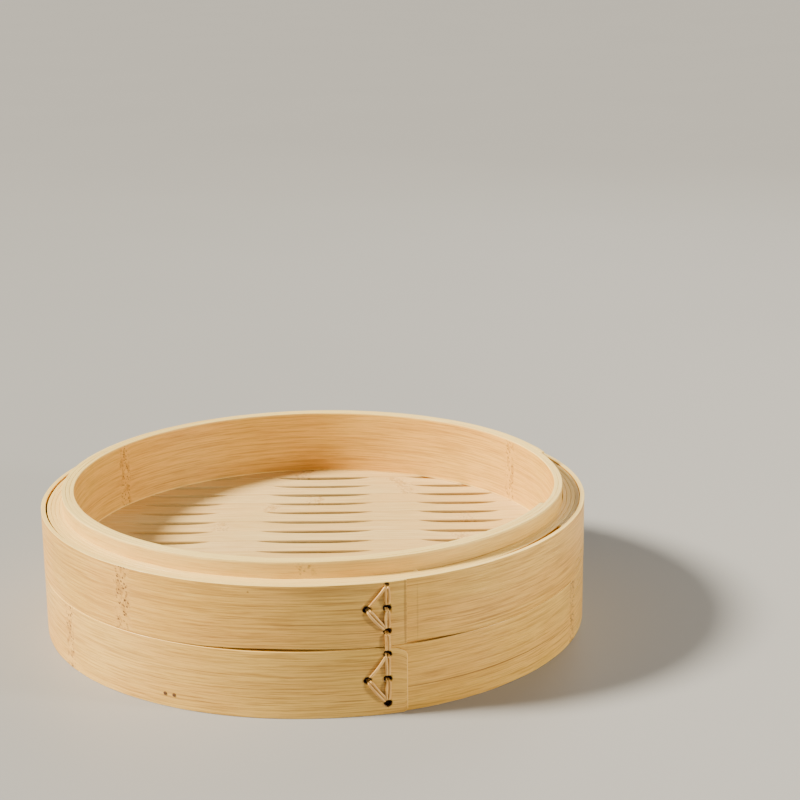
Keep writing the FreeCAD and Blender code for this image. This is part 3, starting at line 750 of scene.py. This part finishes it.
def plyTube(start, end, offset, seed):
    # flat oval ply between two holes: its line is start + path * direction on the hoop's skin, dives into the
    # hole at both ends, and stands proud of the hoop between; the section is (wide cos a, thick sin a)
    dice = np.random.default_rng(seed)
    run = np.array([math.radians(end[0] - start[0]) * hoopRadius, end[1] - start[1]])
    length = np.linalg.norm(run)
    right, up = run / length
    t = 0.5 - 0.5 * np.cos(np.linspace(0, np.pi, cane["plySteps"]))
    seen = length - cane["insetTop"] - cane["insetLow"]
    path = cane["insetTop"] + seen * t
    bearing = start[0] + np.degrees(path * right / hoopRadius)
    height = start[1] + path * up
    fromEnd = np.minimum(t, 1 - t) * seen
    w = np.abs(2 * t - 1)      # 0 in the middle of the run, 1 at its ends
    dive = cane["dive"] * (1 - ease(fromEnd / cane["diveRun"])) ** 1.5
    radius = lapRadii(bearing)[0] + cane["lift"] + cane["crown"] * (1 - w ** 2) - dive
    turn = np.radians(bearing - 90)
    line = np.stack([radius * np.cos(turn), radius * np.sin(turn), height], -1)
    outward = np.stack([np.cos(turn), np.sin(turn), np.zeros_like(turn)], -1)
    forward = np.stack([-np.sin(turn), np.cos(turn), np.zeros_like(turn)], -1) * right + np.array([0, 0, up])
    sideways = np.cross(outward, forward)
    lean = cane["twist"] * np.sin(t * dice.uniform(3, 6) + dice.uniform(0, 6)) + cane["tilt"] * offset
    stray = cane["stray"] * np.sin(t * dice.uniform(4, 8) + dice.uniform(0, 6))
    bow = offset * cane["plyApart"] * (1 - cane["pinch"] * w ** 4) + stray
    line = line + sideways * bow[:, None]
    normal = outward * np.cos(lean)[:, None] + sideways * np.sin(lean)[:, None]
    across = np.cross(normal, forward)
    angle = np.linspace(0, 2 * np.pi, cane["plySides"] + 1)[:-1]
    narrowed = 1 - cane["taper"] * ease((w - 0.7) / 0.3)
    wide = cane["plyWide"] * narrowed * (1 + 0.07 * np.sin(7 * t + 2 * offset))
    thick = cane["plyThick"] * np.sign(np.sin(angle)) * np.abs(np.sin(angle)) ** 0.8
    points = (line[:, None, :] + across[:, None, :] * (wide[:, None] * np.cos(angle))[:, :, None]
              + normal[:, None, :] * thick[None, :, None])
    along = np.repeat(path[:, None], len(angle) + 1, 1) + seed * cane["jumpAlong"]
    around = np.linspace(0, cane["mapRound"], len(angle) + 1) + seed * cane["jumpRound"]
    return points, along, np.repeat(around[None, :], len(t), 0)


def laceRuns(name, node, runs, seed):
    # a run is one ply or two side by side; all of them make one piece
    tubes = [plyTube(start, end, offset, seed + 3 * k + offset)
             for k, (start, end, plies) in enumerate(runs) for offset in ((-1, 1) if plies == 2 else (0,))]
    addPiece(name, tubes, materials["cane"], node)


def triangleRuns(rungs):
    # one ply out to the side corner, two back, and two down the stitch line
    side = (cane["stitch"] - cane["spread"], rungs[1])
    low, middle, high = [(cane["stitch"], z) for z in rungs]
    return [(high, side, 1), (side, low, 2), (high, middle, 2), (middle, low, 2)]


link = [((cane["stitch"], upperRungs[0]), (cane["stitch"], lowerRungs[2]), 2)]
laceRuns("lapLacing", "lap_lacing", triangleRuns(upperRungs) + link + triangleRuns(lowerRungs), 100)
for name, node, turn in (("tieStitchRight", "tie_stitch_right", 1), ("tieStitchLeft", "tie_stitch_left", -1)):
    at = cane["stitch"] + turn * cane["tieTurn"]
    laceRuns(name, node, [((at, seam + cane["tieReach"]), (at, seam - cane["tieReach"]), 2)], 200 + 10 * turn)


def drill(piece, spots):
    # burnt holes cut into a hoop, down to a thin floor: oval prisms along the radius, their ring
    # at angle a being (wide cos a, tall sin a), made uneven by two sines
    count = cane["holeSides"]
    angle = np.linspace(0, 2 * np.pi, count + 1)[:-1]
    k = np.arange(count)
    nextK = (k + 1) % count
    verts, faces = [], []
    for index, (bearing, height, share) in enumerate(spots):
        turn = math.radians(bearing - 90)
        outward = np.array([math.cos(turn), math.sin(turn), 0.0])
        sideways = np.array([-math.sin(turn), math.cos(turn), 0.0])
        rough = share * (1 + 0.07 * np.sin(3 * angle + index) + 0.04 * np.sin(7 * angle + 2 * index))
        ring = (sideways * (cane["holeWide"] * rough * np.cos(angle))[:, None]
                + np.array([0, 0, 1.0]) * (cane["holeTall"] * rough * np.sin(angle))[:, None])
        first = 2 * count * index
        for reach in (hoopRadius - hoops["thick"] + hoops["holeFloor"], hoopRadius + hoops["drillPast"]):
            verts.append(outward * reach + np.array([0, 0, height]) + ring)
        faces += (first + np.stack([k, nextK, count + nextK, count + k], -1)).tolist()
        faces += [(first + k[::-1]).tolist(), (first + count + k).tolist()]
    mesh = bpy.data.meshes.new("drill")
    mesh.from_pydata(np.concatenate(verts).tolist(), [], faces)
    mesh.materials.append(materials["burnt"])
    cutter = bpy.data.objects.new("drill", mesh)
    bpy.context.scene.collection.objects.link(cutter)
    cut = piece.modifiers.new("holes", "BOOLEAN")
    cut.operation, cut.solver, cut.object = "DIFFERENCE", "EXACT", cutter
    cut.material_mode = "TRANSFER"
    bpy.context.view_layer.update()
    done = bpy.data.meshes.new_from_object(piece.evaluated_get(bpy.context.evaluated_depsgraph_get()))
    piece.modifiers.clear()
    old, piece.data = piece.data, done
    done.name = piece.name
    bpy.data.meshes.remove(old)
    bpy.data.objects.remove(cutter)


drill(upperHoop, hoopHoles(upperRungs))
drill(lowerHoop, hoopHoles(lowerRungs))
print("cane laced")


def dressNode(node, material):
    # a node that stays as it is, with a new finish
    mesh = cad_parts[node].data
    mesh.materials.clear()
    mesh.materials.append(material)


dressNode("support_winding", materials["support"])
dressNode("base_pins", materials["pin"])


def makeFloor():
    # flat disc: its ring at angle a is (radius cos a, radius sin a)
    angle = np.linspace(0, 2 * np.pi, 97)[:-1]
    ring = np.stack([studio["floorRadius"] * np.cos(angle), studio["floorRadius"] * np.sin(angle),
                     np.full_like(angle, -studio["floorDrop"])], -1)
    mesh = bpy.data.meshes.new("stageFloor")
    mesh.from_pydata(ring.tolist(), [], [list(range(len(angle)))])
    made, tree, shader = newMaterial("stagePaper")
    pale = studio["floorColour"]
    shade = tuple(channel * studio["floorMottle"] for channel in pale)
    body = blendColour(tree, ramp(tree, objectNoise(tree, 3.0), 0.3, 0.7), pale, shade)
    tree.links.new(body, shader.inputs["Base Color"])
    shader.inputs["Roughness"].default_value = 0.55
    mesh.materials.append(made)
    floor = bpy.data.objects.new("stageFloor", mesh)
    bpy.context.scene.collection.objects.link(floor)


def placeLight(name, kind, place, target, size, power, colour):
    # a sun's size is its angle in degrees and its power watts per square metre
    data = bpy.data.lights.new(name, kind)
    data.energy, data.color = power, colour
    if kind == "SUN":
        data.angle = math.radians(size)
    else:
        data.shape, data.size = "DISK", size
    light = bpy.data.objects.new(name, data)
    light.location = place
    light.rotation_euler = (Vector(target) - Vector(place)).to_track_quat("-Z", "Y").to_euler()
    bpy.context.scene.collection.objects.link(light)


def makeSky():
    sky = bpy.data.worlds.new("studioSky")
    sky.use_nodes = True
    glow = sky.node_tree.nodes["Background"]
    glow.inputs[0].default_value = (*studio["skyColour"], 1.0)
    glow.inputs[1].default_value = studio["skyStrength"]
    bpy.context.scene.world = sky


# name: kind, place, aimed at, size, power, colour
lights = {
    "keyLight": ("SUN", (-1.38, -0.13, 1.10), (0, 0, 0.04), 13.0, 12.2, (1.0, 0.87, 0.65)),
    "fillLight": ("AREA", (1.31, -0.50, 0.38), (0.05, 0, 0.03), 0.22, 19.0, (1.0, 0.88, 0.67)),
    "backLight": ("AREA", (0.5, 1.2, 1.0), (0, 0, 0.05), 0.8, 6.0, (1.0, 0.92, 0.78)),
}
makeFloor()
for name, settings in lights.items():
    placeLight(name, *settings)
makeSky()
print("stage set")
